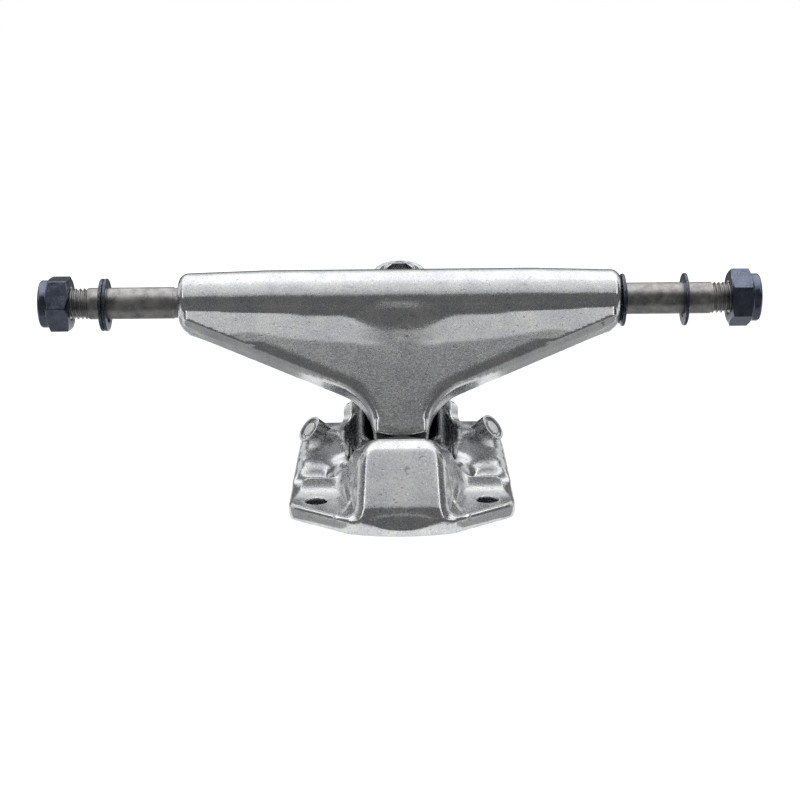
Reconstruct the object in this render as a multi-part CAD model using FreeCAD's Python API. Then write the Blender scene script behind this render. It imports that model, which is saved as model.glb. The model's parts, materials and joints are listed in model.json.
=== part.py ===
"""A skateboard truck: cast baseplate and hanger, kingpin and bushings, pivot cup, axle and its hardware.

Millimetres. X runs along the axle, +Z up from the deck face, and -Y is the pivot side.
The origin is the centre of the four deck bolt holes, on the flat underside.
"""

import FreeCAD, Part
import math
import os

# Deck side: the four bolt holes and the plate around them
BOLT_ACROSS = 41.275
BOLT_ALONG = 53.975
BOLT_HOLE_D = 5.1
PLATE_T = 4.0
PLATE_SIDE_RIM = 4.2
PLATE_NOSE_RIM = 0.96
PLATE_NOSE_W = 25.2
PLATE_NOSE_DROP = 2.2
PLATE_SHOULDER_INSET = 1.8
PLATE_SHOULDER_RUN = 3.8
PLATE_EDGE = 0.4

# Steering geometry, in the plane X = 0
AXLE_Z = 47.8
PIVOT_Y = -21.0
PIVOT_Z = 13.0
KINGPIN_TILT_DEG = 15.0
KINGPIN_END_Y = 17.27
KINGPIN_END_Z = 53.37

# Kingpin and its nut
KINGPIN_D = 9.525
KINGPIN_HEAD_AF = 14.29
KINGPIN_HEAD_T = 5.5
KINGPIN_SOCKET_AF = 6.0
KINGPIN_SOCKET_DEPTH = 5.0
KINGPIN_CHAMFER = 0.9
KINGPIN_PLAY = 0.19
KINGPIN_PROUD = 1.0
KINGPIN_HEAD_PLAY = 0.1
KINGPIN_NUT_AF = 14.29
KINGPIN_NUT_HEX_T = 5.6
KINGPIN_NUT_COLLAR_T = 2.4
KINGPIN_NUT_COLLAR_D = 13.4
KINGPIN_NUT_CHAMFER = 0.7

# Bushings and cup washers, stacked on the kingpin
WASHER_T = 1.5
WASHER_LIP_T = 1.0
WASHER_LIP_H = 1.1
TOP_WASHER_PLAY = 0.6
BOTTOM_WASHER_PLAY = 0.4
CONE_T = 10.9
CONE_WIDE_D = 23.6
CONE_NARROW_D = 17.4
BARREL_T = 13.0
BARREL_D = 21.6
BUSHING_PLAY = 0.05

# Hanger: axle bar, web, pivot stem, neck and kingpin ring
HANGER_W = 110.4
BAR_MID_R = 7.95
BAR_END_R = 7.35
BAR_STRAIGHT_SHARE = 0.6
BAR_EDGE = 1.5
WEB_BACK = 4.8
WEB_EDGE = 1.6
WEB_LEDGE_DROP = 12.6
WEB_LEDGE_DEG = 11.0
WEB_END_INSET = 2.0
WEB_END_DROP = 7.4
WEB_SLOPE_DEG = 23.4
WEB_THROAT_R = 12.5
WEB_TOE_RIM = 0.2
COLUMN_W = 17.0
COLUMN_FLAT_W = 9.0
COLUMN_EDGE = 1.6
COLUMN_FOOT_RISE = 5.0
STEM_R = 6.5
STEM_TIP_R = 5.3
STEM_TIP_RISE = 4.0
RING_WALL = 3.0
RING_T = 9.0
RING_NECK_T = 6.0
RING_HOLE_R = 7.5
RING_SEAT_PLAY = 0.7
NECK_W = 16.0
NECK_FOOT_RISE = 13.2
NECK_EDGE_R = 2.0

# Pivot cup and the boss that holds it
CUP_WALL = 1.55
CUP_LIP_W = 1.05
CUP_LIP_T = 1.1
CUP_RIM_RISE = 2.0
CUP_NOSE_SHARE = 0.6
CUP_SIDE_SHARE = 0.48
CUP_PLAY = 0.05
STEM_PLAY = 0.1
BOSS_FOOT_W = 21.4
BOSS_FOOT_FRONT_Y = 44.8
BOSS_FOOT_BACK_Y = 9.0
BOSS_TOP_W = 19.2
BOSS_TOP_FRONT_Y = 31.6
BOSS_TOP_BACK_Y = 12.0
BOSS_TOP_Z = 19.9
BOSS_SPREAD_SHARE = 0.16
BOSS_EDGE = 1.5
BOSS_TOE_Z = 6.5
BOSS_TOE_DEG = 25.0
DRAIN_HOLE_D = 4.0

# Bushing tower with its two front ears, and the shoulders beside it
TOWER_WALL = 2.1
TOWER_FRONT_Y = 11.0
TOWER_CORNER_R = 1.6
TOWER_WALL_RISE = 5.5
TOWER_POCKET_PLAY = 0.4
EAR_TOP_Z = 20.4
EAR_BACK_Y = 14.4
SLOT_PLAY = 1.5
SLOT_FLOOR_Z = 8.2
SHOULDER_FRONT_Y = -13.0
SHOULDER_RISE_Y = -1.0
SHOULDER_CREST_Y = 8.0
SHOULDER_BACK_Y = 21.0
SHOULDER_CREST_Z = 16.4
SHOULDER_RISE_Z = 13.2
SHOULDER_SIDE_Z = 9.6
SHOULDER_SIDE_INSET = 1.3
SHOULDER_BEND_INSET = 4.2
SHOULDER_BEND_Z = 14.4
SHOULDER_FLAT_INSET = 7.9
PAD_D = 7.2
PAD_T = 0.9
PAD_INSET = 5.0
PAD_Y = 0.5
PAD_Z = 13.9
PAD_TILT_DEG = 48.0
FLOOR_INSET = 2.2
FLOOR_Z = 5.8

# Axle, with its fat core inside the hanger
AXLE_D = 7.94
AXLE_LENGTH = 178.8
AXLE_CORE_D = 9.0
AXLE_CORE_INSET = 1.2
AXLE_RELIEF_DEPTH = 0.18
AXLE_RELIEF_L = 1.3
SEAT_LENGTH_SHARE = 0.657
THREAD_D = 7.5
THREAD_L = 11.9
THREAD_CHAMFER = 0.7
AXLE_BORE_PLAY = 0.02

# Axle nuts
NUT_AF = 12.7
NUT_HEX_T = 5.1
NUT_COLLAR_T = 2.5
NUT_COLLAR_D = 11.9
NUT_CHAMFER = 0.6
NUT_PROUD = 0.4
NUT_BORE_PLAY = 0.05

# Nylon locking rings, in both sizes of nut
INSERT_WALL = 1.5
INSERT_T = 1.9
INSERT_RECESS = 0.3
INSERT_PLAY = 0.02

# Loose washers, and where they lie on the free run between the hanger's face and the nut
SPEED_D = 13.2
SPEED_BORE_PLAY = 0.395
SPEED_T = 0.9
SPEED_TOP_PLAY = 0.02
LEFT_PAIR_SHARE = 0.655
RIGHT_LOOSE_SHARE = 0.577
WASHER_GAP = 0.04

# One length by which cutting tools run past what they cut
OVERRUN = 40.0

PARTS = "parts"
Z_UP = FreeCAD.Vector(0, 0, 1)
X_OUT = FreeCAD.Vector(1, 0, 0)


def vec(x, y, z):
    return FreeCAD.Vector(x, y, z)


# Working lines: the kingpin's axis and the pivot stem's axis
KINGPIN_TILT = math.radians(KINGPIN_TILT_DEG)
KINGPIN_UP = vec(0, -math.sin(KINGPIN_TILT), math.cos(KINGPIN_TILT))
KINGPIN_END = vec(0, KINGPIN_END_Y, KINGPIN_END_Z)
PIVOT = vec(0, PIVOT_Y, PIVOT_Z)
AXLE_MID = vec(0, 0, AXLE_Z)
STEM_UP = (AXLE_MID - PIVOT).normalize()
STEM_FRONT = X_OUT.cross(STEM_UP)
STEM_LENGTH = (AXLE_MID - PIVOT).Length

# The stack on the kingpin, as depths below its threaded end
NUT_TOP = KINGPIN_PROUD
NUT_BOTTOM = NUT_TOP + KINGPIN_NUT_COLLAR_T + KINGPIN_NUT_HEX_T
CONE_TOP = NUT_BOTTOM + WASHER_T
RING_SEAT_TOP = CONE_TOP + CONE_T + BUSHING_PLAY
RING_SEAT_BOTTOM = RING_SEAT_TOP + RING_NECK_T
RING_MID = RING_SEAT_TOP + RING_NECK_T / 2
BARREL_TOP = RING_SEAT_BOTTOM + BUSHING_PLAY
BARREL_BOTTOM = BARREL_TOP + BARREL_T
TOWER_SEAT = BARREL_BOTTOM + WASHER_T


def on_kingpin(depth):
    """The point of the kingpin's axis this far below its threaded end."""
    return KINGPIN_END - KINGPIN_UP * depth


def on_stem(rise):
    """The point of the pivot stem's axis this far above the pivot's centre."""
    return PIVOT + STEM_UP * rise


SEAT_POINT = on_kingpin(TOWER_SEAT)
HEAD_LOW_EDGE = KINGPIN_HEAD_AF / 2 / math.cos(math.pi / 6) * math.sin(KINGPIN_TILT)
HEAD_DEPTH = TOWER_SEAT + (SEAT_POINT.z - HEAD_LOW_EDGE - PLATE_EDGE) / math.cos(KINGPIN_TILT)
KINGPIN_HOLE_R = KINGPIN_D / 2 + KINGPIN_PLAY
RING_SEAT_R = CONE_WIDE_D / 2 + RING_SEAT_PLAY
RING_R = RING_SEAT_R + RING_WALL
TOP_WASHER_R = CONE_NARROW_D / 2 + TOP_WASHER_PLAY + WASHER_LIP_T
BOTTOM_WASHER_R = BARREL_D / 2 + BOTTOM_WASHER_PLAY + WASHER_LIP_T
POCKET_R = BOTTOM_WASHER_R + TOWER_POCKET_PLAY
TOWER_HALF = POCKET_R + TOWER_WALL

# Half widths of the plate, and the ends of its straight sides and of its noses
PLATE_SIDE_X = (BOLT_ACROSS + BOLT_HOLE_D) / 2 + PLATE_SIDE_RIM
PLATE_SHOULDER_X = PLATE_SIDE_X - PLATE_SHOULDER_INSET
PLATE_SIDE_Y = BOLT_ALONG / 2
PLATE_SHOULDER_Y = PLATE_SIDE_Y + PLATE_SHOULDER_RUN
PLATE_NOSE_Y = SEAT_POINT.y + TOWER_HALF + PLATE_NOSE_RIM
FLOOR_W = (TOWER_HALF - FLOOR_INSET) * 2

# Along the axle, as distances from its middle
HALF_HANGER = HANGER_W / 2
AXLE_HALF = AXLE_LENGTH / 2
THREAD_X = AXLE_HALF - THREAD_L
SEAT_INNER_X = HALF_HANGER + AXLE_RELIEF_L
SEAT_OUTER_X = SEAT_INNER_X + (THREAD_X - SEAT_INNER_X) * SEAT_LENGTH_SHARE
NUT_OUTER_X = AXLE_HALF + NUT_PROUD
NUT_INNER_X = NUT_OUTER_X - NUT_HEX_T - NUT_COLLAR_T
FREE_RUN = NUT_INNER_X - HALF_HANGER
LEFT_PAIR_X = HALF_HANGER + FREE_RUN * LEFT_PAIR_SHARE
RIGHT_LOOSE_X = HALF_HANGER + FREE_RUN * RIGHT_LOOSE_SHARE


# Shared solids

def mirrored(shape):
    """The shape's twin on the other side of the plane X = 0."""
    return shape.mirror(vec(0, 0, 0), X_OUT)


def loop(points):
    """A closed face from corner points. A pair of points is an arc's middle and end."""
    edges = []
    here = points[0]
    for point in points[1:] + [points[0]]:
        if isinstance(point, tuple):
            middle, end = point
            edges.append(Part.Arc(here, middle, end).toShape())
            here = end
        elif (point - here).Length > 0:
            edges.append(Part.LineSegment(here, point).toShape())
            here = point
    return Part.Face(Part.Wire(edges))


def standing(shape, origin, up, facing=X_OUT):
    """The shape, drawn about Z, stood on origin with its Z along up and its X along facing."""
    across = up.cross(facing)
    rows = (facing.x, across.x, up.x, origin.x, facing.y, across.y, up.y, origin.y)
    rows += (facing.z, across.z, up.z, origin.z, 0, 0, 0, 1)
    moved = shape.copy()
    moved.Placement = FreeCAD.Placement(FreeCAD.Matrix(*rows)).multiply(moved.Placement)
    return moved


def turned(outline):
    """A solid of revolution about Z, from its outline of (radius, height) corners."""
    return loop([vec(radius, 0, height) for radius, height in outline]).revolve(vec(0, 0, 0), Z_UP, 360)


def hexagon(across_flats, height):
    corner = across_flats / 2 / math.cos(math.pi / 6)
    turns = [k * math.pi / 3 for k in range(6)]
    face = loop([vec(corner * math.cos(turn), corner * math.sin(turn), 0) for turn in turns])
    return face.extrude(vec(0, 0, height))


def rounded_slab(width, front, back, corner, base, top):
    """An upright block with round vertical corners, from front to back along Y."""
    half = width / 2
    bulge = corner * (1 - math.sqrt(0.5))
    right, left = half - corner, corner - half
    near, far = front + corner, back - corner
    arcs = (
        (vec(right, front, base), vec(half - bulge, front + bulge, base), vec(half, near, base)),
        (vec(half, far, base), vec(half - bulge, back - bulge, base), vec(right, back, base)),
        (vec(left, back, base), vec(bulge - half, back - bulge, base), vec(-half, far, base)),
        (vec(-half, near, base), vec(bulge - half, front + bulge, base), vec(left, front, base)),
    )
    edges = []
    for k, (start, middle, end) in enumerate(arcs):
        edges.append(Part.Arc(start, middle, end).toShape())
        edges.append(Part.LineSegment(end, arcs[(k + 1) % len(arcs)][0]).toShape())
    return Part.Face(Part.Wire(edges)).extrude(vec(0, 0, top - base))


def side_profile(outline, width):
    """A block of this width across X, from its outline of (Y, Z) points."""
    half = width / 2
    points = []
    for entry in outline:
        if isinstance(entry[0], tuple):
            points.append(tuple(vec(-half, y, z) for y, z in entry))
        else:
            points.append(vec(-half, *entry))
    return loop(points).extrude(vec(width, 0, 0))


def lock_nut(across_flats, hex_t, collar_t, collar_d, chamfer, bore_d):
    """A hex nut standing on its bearing face, with a round collar above it for the locking ring."""
    height = hex_t + collar_t
    corner = across_flats / 2 / math.cos(math.pi / 6)
    collar_r = collar_d / 2
    envelope = turned([
        (0, 0),
        (corner, 0),
        (corner, hex_t - chamfer),
        (collar_r, hex_t),
        (collar_r, height),
        (0, height),
    ])
    bore = Part.makeCylinder(bore_d / 2, height)
    nut = hexagon(across_flats, height).common(envelope).cut(bore)
    return nut.cut(insert_room(height, bore_d))


def insert_room(height, bore_d):
    """The round groove inside the collar, open at the top, that the locking ring is pressed into."""
    radius = bore_d / 2 + INSERT_WALL + INSERT_PLAY
    return Part.makeCylinder(radius, INSERT_T + INSERT_RECESS, vec(0, 0, height - INSERT_T - INSERT_RECESS))


def lock_ring(height, screw_d):
    """The nylon ring in its groove, whose bore grips the screw thread."""
    base = height - INSERT_T - INSERT_RECESS + INSERT_PLAY
    ring = Part.makeCylinder(screw_d / 2 + INSERT_WALL, INSERT_T - INSERT_PLAY, vec(0, 0, base))
    return ring.cut(Part.makeCylinder(screw_d / 2 + INSERT_PLAY, height))


# Baseplate

def plate_outline(level):
    """The plate seen from above: straight sides, bent shoulders, slants, and a bowed nose at each end."""
    nose_x, slant_y = PLATE_NOSE_W / 2, PLATE_NOSE_Y - PLATE_NOSE_DROP
    bend_x = PLATE_SIDE_X - PLATE_SHOULDER_INSET / 4
    bend_y = (PLATE_SIDE_Y + PLATE_SHOULDER_Y) / 2
    corner = []
    for end in (1, -1):
        for side in (end, -end):
            straight = vec(side * PLATE_SIDE_X, end * PLATE_SIDE_Y, level)
            bend = vec(side * bend_x, end * bend_y, level)
            shoulder_end = vec(side * PLATE_SHOULDER_X, end * PLATE_SHOULDER_Y, level)
            nose_end = vec(side * nose_x, end * slant_y, level)
            corner.append((straight, bend, shoulder_end, nose_end))
    points = []
    for k, end in ((0, 1), (2, -1)):
        straight, bend, shoulder_end, nose_end = corner[k]
        points += [straight, (bend, shoulder_end), nose_end]
        straight, bend, shoulder_end, far_nose_end = corner[k + 1]
        points += [(vec(0, end * PLATE_NOSE_Y, level), far_nose_end), shoulder_end, (bend, straight)]
    return loop(points)


def plate():
    """The flange that lies on the deck, its upper edge bevelled."""
    slab = plate_outline(0).extrude(vec(0, 0, PLATE_T))
    upper = [e for e in slab.Edges if abs(e.BoundBox.ZMin - PLATE_T) < PLATE_EDGE / 10]
    return slab.makeChamfer(PLATE_EDGE, upper)


def pivot_boss():
    """The flared block round the pivot cup, cut off square to the stem at the cup's rim."""
    foot = boss_wire(BOSS_FOOT_W, BOSS_FOOT_FRONT_Y, BOSS_FOOT_BACK_Y, PLATE_T / 2)
    top = boss_wire(BOSS_TOP_W, BOSS_TOP_FRONT_Y, BOSS_TOP_BACK_Y, BOSS_TOP_Z)
    block = Part.makeLoft([foot, top], True, True)
    front = [e for e in block.Edges if e.BoundBox.YMax < -BOSS_TOP_FRONT_Y + BOSS_EDGE
             and e.BoundBox.ZMax > BOSS_TOP_Z - BOSS_EDGE]
    block = block.makeChamfer(BOSS_EDGE, front)
    above = Part.makeCylinder(OVERRUN, OVERRUN, on_stem(CUP_RIM_RISE), STEM_UP)
    toe_y = BOSS_TOP_FRONT_Y + (BOSS_FOOT_FRONT_Y - BOSS_TOP_FRONT_Y) * (BOSS_TOP_Z - BOSS_TOE_Z) / (
        BOSS_TOP_Z - PLATE_T / 2)
    hinge = vec(-BOSS_FOOT_W, -toe_y, BOSS_TOE_Z)
    ahead = Part.makeBox(BOSS_FOOT_W * 2, OVERRUN, OVERRUN, hinge - vec(0, OVERRUN, OVERRUN / 2))
    ahead.rotate(hinge, X_OUT, -BOSS_TOE_DEG)
    within = plate_outline(0).extrude(vec(0, 0, OVERRUN))
    return block.cut(above).cut(ahead).common(within)


def boss_wire(width, front, back, level):
    """A level outline of the boss, this wide in front and wider behind."""
    near = width / 2
    far = near + (front - back) * BOSS_SPREAD_SHARE
    corners = ((-near, -front), (near, -front), (far, -back), (-far, -back))
    return loop([vec(x, y, level) for x, y in corners]).OuterWire


def cup_body(wall, top):
    """The solid inside the cup's wall at this distance from the stem, up to this rise above the pivot."""
    radius = STEM_TIP_R + STEM_PLAY + wall
    body = turned([
        (0, -radius),
        (radius * CUP_NOSE_SHARE, -radius),
        (radius, -radius * CUP_SIDE_SHARE),
        (radius, top),
        (0, top),
    ])
    return standing(body, PIVOT, STEM_UP)


def shoulder():
    """The rounded shoulder beside the tower, on the +X side."""
    insets = (SHOULDER_SIDE_INSET, SHOULDER_BEND_INSET, SHOULDER_FLAT_INSET)
    side, bend, flat = (PLATE_SIDE_X - inset for inset in insets)
    front = SHOULDER_FRONT_Y
    across = loop([
        vec(0, front, 0),
        vec(PLATE_SIDE_X, front, 0),
        vec(PLATE_SIDE_X, front, PLATE_T - PLATE_EDGE),
        vec(side, front, SHOULDER_SIDE_Z),
        (vec(bend, front, SHOULDER_BEND_Z), vec(flat, front, SHOULDER_CREST_Z)),
        vec(0, front, SHOULDER_CREST_Z),
    ]).extrude(vec(0, SHOULDER_BACK_Y - front, 0))
    along = side_profile([
        (front, 0),
        (front, PLATE_T / 2),
        ((SHOULDER_RISE_Y, SHOULDER_RISE_Z), (SHOULDER_CREST_Y, SHOULDER_CREST_Z)),
        ((SHOULDER_BACK_Y - PLATE_T / 2, SHOULDER_RISE_Z), (SHOULDER_BACK_Y, PLATE_T / 2)),
        (SHOULDER_BACK_Y, 0),
    ], PLATE_SIDE_X * 2)
    return across.common(along)


def shoulder_pad():
    """The plain raised disc on the +X shoulder, facing out and up."""
    tilt = math.radians(PAD_TILT_DEG)
    facing = vec(math.sin(tilt), -math.sin(tilt) / 2, math.cos(tilt)).normalize()
    middle = vec(PLATE_SIDE_X - PAD_INSET, PAD_Y, PAD_Z)
    return Part.makeCylinder(PAD_D / 2, PAD_T * 2, middle - facing * PAD_T, facing)


def tower():
    """The block under the bushings: two ears in front, and behind them a low wall round the lower washer."""
    half, corner = TOWER_HALF, TOWER_CORNER_R
    bulge = corner * (1 - math.sqrt(0.5))
    front, inner = TOWER_FRONT_Y, half - corner
    plan = loop([
        vec(-inner, front, 0),
        vec(inner, front, 0),
        (vec(half - bulge, front + bulge, 0), vec(half, front + corner, 0)),
        vec(half, SEAT_POINT.y, 0),
        (vec(0, SEAT_POINT.y + half, 0), vec(-half, SEAT_POINT.y, 0)),
        vec(-half, front + corner, 0),
        (vec(bulge - half, front + bulge, 0), vec(-inner, front, 0)),
    ])
    ears = plan.extrude(vec(0, 0, EAR_TOP_Z)).common(
        Part.makeBox(half * 2, EAR_BACK_Y - front, EAR_TOP_Z, vec(-half, front, 0)))
    above = Part.makeCylinder(OVERRUN, OVERRUN, SEAT_POINT + KINGPIN_UP * TOWER_WALL_RISE, KINGPIN_UP)
    block = plan.extrude(vec(0, 0, OVERRUN)).cut(above).fuse(ears)
    slot_x = NECK_W / 2 + SLOT_PLAY
    slot = Part.makeBox(slot_x * 2, SEAT_POINT.y - front, OVERRUN, vec(-slot_x, front, SLOT_FLOOR_Z))
    return block.cut(slot).cut(seat_room())


def seat_room():
    """The round hollow that the lower washer and bushing stand in."""
    return Part.makeCylinder(POCKET_R, OVERRUN, SEAT_POINT, KINGPIN_UP)


def baseplate():
    valley_front = SHOULDER_FRONT_Y - OVERRUN
    valley = rounded_slab(FLOOR_W, valley_front, SEAT_POINT.y, TOWER_CORNER_R, PLATE_T, OVERRUN)
    side = shoulder().fuse(shoulder_pad()).cut(valley)
    floor_front = -BOSS_TOP_BACK_Y - TOWER_CORNER_R
    floor_back = TOWER_FRONT_Y + TOWER_CORNER_R * 2
    floor = rounded_slab(FLOOR_W, floor_front, floor_back, TOWER_CORNER_R, 0, FLOOR_Z)
    body = plate().fuse([pivot_boss(), floor, tower(), side, mirrored(side)])
    body = body.cut(cup_body(CUP_WALL + CUP_PLAY, STEM_TIP_RISE))
    body = body.cut(Part.makeCylinder(DRAIN_HOLE_D / 2, OVERRUN, vec(0, PIVOT_Y, -OVERRUN / 2)))
    body = body.cut(Part.makeCylinder(KINGPIN_HOLE_R, OVERRUN, on_kingpin(HEAD_DEPTH), KINGPIN_UP))
    pocket = hexagon(KINGPIN_HEAD_AF + KINGPIN_HEAD_PLAY * 2, OVERRUN)
    pocket_top = on_kingpin(HEAD_DEPTH - KINGPIN_HEAD_T)
    body = body.cut(standing(pocket, pocket_top, -KINGPIN_UP))
    for x in (-BOLT_ACROSS / 2, BOLT_ACROSS / 2):
        for y in (-BOLT_ALONG / 2, BOLT_ALONG / 2):
            body = body.cut(Part.makeCylinder(BOLT_HOLE_D / 2, OVERRUN, vec(x, y, -OVERRUN / 2)))
    return body.removeSplitter()


def pivot_cup():
    """The urethane thimble that the stem turns in, with its lip on the boss."""
    lip_r = STEM_TIP_R + STEM_PLAY + CUP_WALL + CUP_LIP_W
    lip = Part.makeCylinder(lip_r, CUP_LIP_T, on_stem(CUP_RIM_RISE), STEM_UP)
    return cup_body(CUP_WALL, CUP_RIM_RISE).fuse(lip).cut(cup_body(0, STEM_TIP_RISE))


# Kingpin and what is stacked on it

def kingpin():
    """A hex-headed bolt held in the underside, with a hex socket in its threaded end."""
    shank = turned([
        (0, 0),
        (KINGPIN_D / 2 - KINGPIN_CHAMFER, 0),
        (KINGPIN_D / 2, KINGPIN_CHAMFER),
        (KINGPIN_D / 2, HEAD_DEPTH),
        (0, HEAD_DEPTH),
    ])
    socket = hexagon(KINGPIN_SOCKET_AF, KINGPIN_SOCKET_DEPTH)
    head = hexagon(KINGPIN_HEAD_AF, KINGPIN_HEAD_T)
    head.translate(vec(0, 0, HEAD_DEPTH - KINGPIN_HEAD_T))
    return standing(shank.fuse(head).cut(socket), KINGPIN_END, -KINGPIN_UP)


def kingpin_nut():
    nut = lock_nut(KINGPIN_NUT_AF, KINGPIN_NUT_HEX_T, KINGPIN_NUT_COLLAR_T, KINGPIN_NUT_COLLAR_D,
                   KINGPIN_NUT_CHAMFER, KINGPIN_D + INSERT_PLAY * 2)
    return standing(nut, on_kingpin(NUT_BOTTOM), KINGPIN_UP)


def kingpin_nut_insert():
    locking = lock_ring(KINGPIN_NUT_HEX_T + KINGPIN_NUT_COLLAR_T, KINGPIN_D)
    return standing(locking, on_kingpin(NUT_BOTTOM), KINGPIN_UP)


def cup_washer(edge):
    """A dished washer lying on its flat side, its lip turned up round the bushing."""
    return turned([
        (KINGPIN_HOLE_R, 0),
        (edge, 0),
        (edge, WASHER_T + WASHER_LIP_H),
        (edge - WASHER_LIP_T, WASHER_T + WASHER_LIP_H),
        (edge - WASHER_LIP_T, WASHER_T),
        (KINGPIN_HOLE_R, WASHER_T),
    ])


def road_side_washer():
    return standing(cup_washer(TOP_WASHER_R), on_kingpin(NUT_BOTTOM), -KINGPIN_UP)


def board_side_washer():
    return standing(cup_washer(BOTTOM_WASHER_R), SEAT_POINT, KINGPIN_UP)


def bushing(bottom_d, top_d, height):
    """A urethane ring, straight or narrowing upwards."""
    return turned([
        (KINGPIN_HOLE_R, 0),
        (bottom_d / 2, 0),
        (top_d / 2, height),
        (KINGPIN_HOLE_R, height),
    ])


def board_side_bushing():
    barrel = bushing(BARREL_D, BARREL_D, BARREL_T)
    return standing(barrel, on_kingpin(BARREL_BOTTOM), KINGPIN_UP)


def road_side_bushing():
    cone = bushing(CONE_WIDE_D, CONE_NARROW_D, CONE_T)
    return standing(cone, on_kingpin(CONE_TOP + CONE_T), KINGPIN_UP)


# Hanger and axle

def axle_bar():
    """The round bar that holds the axle, tapered to both ends."""
    straight = HALF_HANGER * BAR_STRAIGHT_SHARE
    bar = turned([
        (0, -HALF_HANGER),
        (BAR_END_R - BAR_EDGE, -HALF_HANGER),
        (BAR_END_R, BAR_EDGE - HALF_HANGER),
        (BAR_MID_R, -straight),
        (BAR_MID_R, straight),
        (BAR_END_R, HALF_HANGER - BAR_EDGE),
        (BAR_END_R - BAR_EDGE, HALF_HANGER),
        (0, HALF_HANGER),
    ])
    return standing(bar, AXLE_MID, X_OUT, -STEM_UP)


def web():
    """The triangular web from the bar down to the stem, drawn flat and stood along the stem's line."""
    slope = math.radians(WEB_SLOPE_DEG)
    turn = math.pi / 2 - slope
    end_x, toe_x = HALF_HANGER - WEB_END_INSET, STEM_R + WEB_TOE_RIM
    throat_x = toe_x + WEB_THROAT_R * (1 - math.cos(turn))
    throat_drop = WEB_END_DROP + (end_x - throat_x) * math.tan(slope)
    middle_x = toe_x + WEB_THROAT_R * (1 - math.cos(turn / 2))
    middle_drop = throat_drop + WEB_THROAT_R * (math.sin(turn) - math.sin(turn / 2))
    toe_drop = throat_drop + WEB_THROAT_R * math.sin(turn)
    outline = loop([
        vec(-end_x, -WEB_END_DROP, 0),
        vec(end_x, -WEB_END_DROP, 0),
        vec(throat_x, -throat_drop, 0),
        (vec(middle_x, -middle_drop, 0), vec(toe_x, -toe_drop, 0)),
        vec(-toe_x, -toe_drop, 0),
        (vec(-middle_x, -middle_drop, 0), vec(-throat_x, -throat_drop, 0)),
    ])
    slab = outline.extrude(vec(0, 0, WEB_BACK + STEM_R))
    rims = [e for e in slab.Edges if e.BoundBox.ZLength < WEB_EDGE and abs(e.CenterOfMass.x) > toe_x]
    slab = slab.makeChamfer(WEB_EDGE, rims)
    slab.translate(vec(0, 0, -WEB_BACK))
    edge = vec(-end_x, -WEB_LEDGE_DROP, STEM_R)
    ledge = Part.makeBox(end_x * 2, WEB_LEDGE_DROP * 2, STEM_R, edge)
    ledge.rotate(edge, X_OUT, -WEB_LEDGE_DEG)
    root_t = WEB_BACK + BAR_MID_R / 2
    root = Part.makeBox(end_x * 2, WEB_END_DROP, root_t, vec(-end_x, -WEB_END_DROP, -WEB_BACK))
    return standing(slab.cut(ledge).fuse(root), AXLE_MID, STEM_FRONT)


def pivot_stem():
    """The round stem that ends in the cup, the squared foot above it, and a soft swell up to the bar."""
    foot, knee = on_stem(COLUMN_FOOT_RISE), on_stem(STEM_LENGTH - WEB_LEDGE_DROP)
    face, back = STEM_FRONT * STEM_R, STEM_FRONT * WEB_BACK
    low = side_profile([(p.y, p.z) for p in (foot + face, knee + face, knee - back, foot - face)], STEM_R * 2)
    uprights = [e for e in low.Edges if e.BoundBox.XLength < COLUMN_EDGE and e.Length > WEB_LEDGE_DROP]
    low = low.makeChamfer(COLUMN_EDGE, uprights)
    flat, wide = X_OUT * (COLUMN_FLAT_W / 2), X_OUT * (COLUMN_W / 2)
    swell = []
    for middle, rise in ((knee, STEM_R), (AXLE_MID, BAR_MID_R)):
        front = middle + STEM_FRONT * rise
        side = middle + STEM_FRONT * (rise - COLUMN_EDGE)
        section = [front - flat, front + flat, side + wide, middle + wide, middle - wide, side - wide]
        swell.append(loop(section).OuterWire)
    post = Part.makeCylinder(STEM_R, COLUMN_FOOT_RISE - STEM_TIP_RISE, on_stem(STEM_TIP_RISE), STEM_UP)
    return low.fuse([Part.makeLoft(swell, True, True), post, cup_body(-STEM_PLAY, STEM_TIP_RISE)])


def neck():
    """The arm from the web back to the kingpin ring."""
    backwards = vec(0, KINGPIN_UP.z, -KINGPIN_UP.y)
    middle = on_kingpin(RING_MID)
    top_front = middle - backwards * RING_R + KINGPIN_UP * (RING_T / 2)
    low_front = middle - backwards * RING_R - KINGPIN_UP * (RING_T / 2)
    top_in = top_front + backwards * (RING_R - RING_SEAT_R)
    low_in = low_front + backwards * (RING_R - RING_SEAT_R)
    web_top = on_stem(STEM_LENGTH - BAR_MID_R)
    web_low = on_stem(NECK_FOOT_RISE)
    waist = (web_low + low_front) * 0.5 - KINGPIN_UP * (NECK_EDGE_R / 2)
    corners = (web_top, top_front, top_in, low_in, low_front, waist, web_low)
    block = side_profile([(point.y, point.z) for point in corners], NECK_W)
    long_edges = [e for e in block.Edges if e.BoundBox.XLength < NECK_EDGE_R
                  and e.BoundBox.YMin < top_front.y - NECK_EDGE_R]
    return block.makeFillet(NECK_EDGE_R, long_edges)


def ring():
    """The solid disc round the kingpin, before its hollows are cut."""
    middle = on_kingpin(RING_MID)
    return Part.makeCylinder(RING_R, RING_T, middle - KINGPIN_UP * (RING_T / 2), KINGPIN_UP)


def ring_hollows():
    """The kingpin's hole through the ring, and a round seat for a bushing on each side of it."""
    hole = Part.makeCylinder(RING_HOLE_R, OVERRUN, on_kingpin(RING_MID + OVERRUN / 2), KINGPIN_UP)
    upper = Part.makeCylinder(RING_SEAT_R, OVERRUN / 2, on_kingpin(RING_SEAT_TOP), KINGPIN_UP)
    lower = Part.makeCylinder(RING_SEAT_R, OVERRUN / 2, on_kingpin(RING_SEAT_BOTTOM), -KINGPIN_UP)
    return hole, upper, lower


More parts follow.
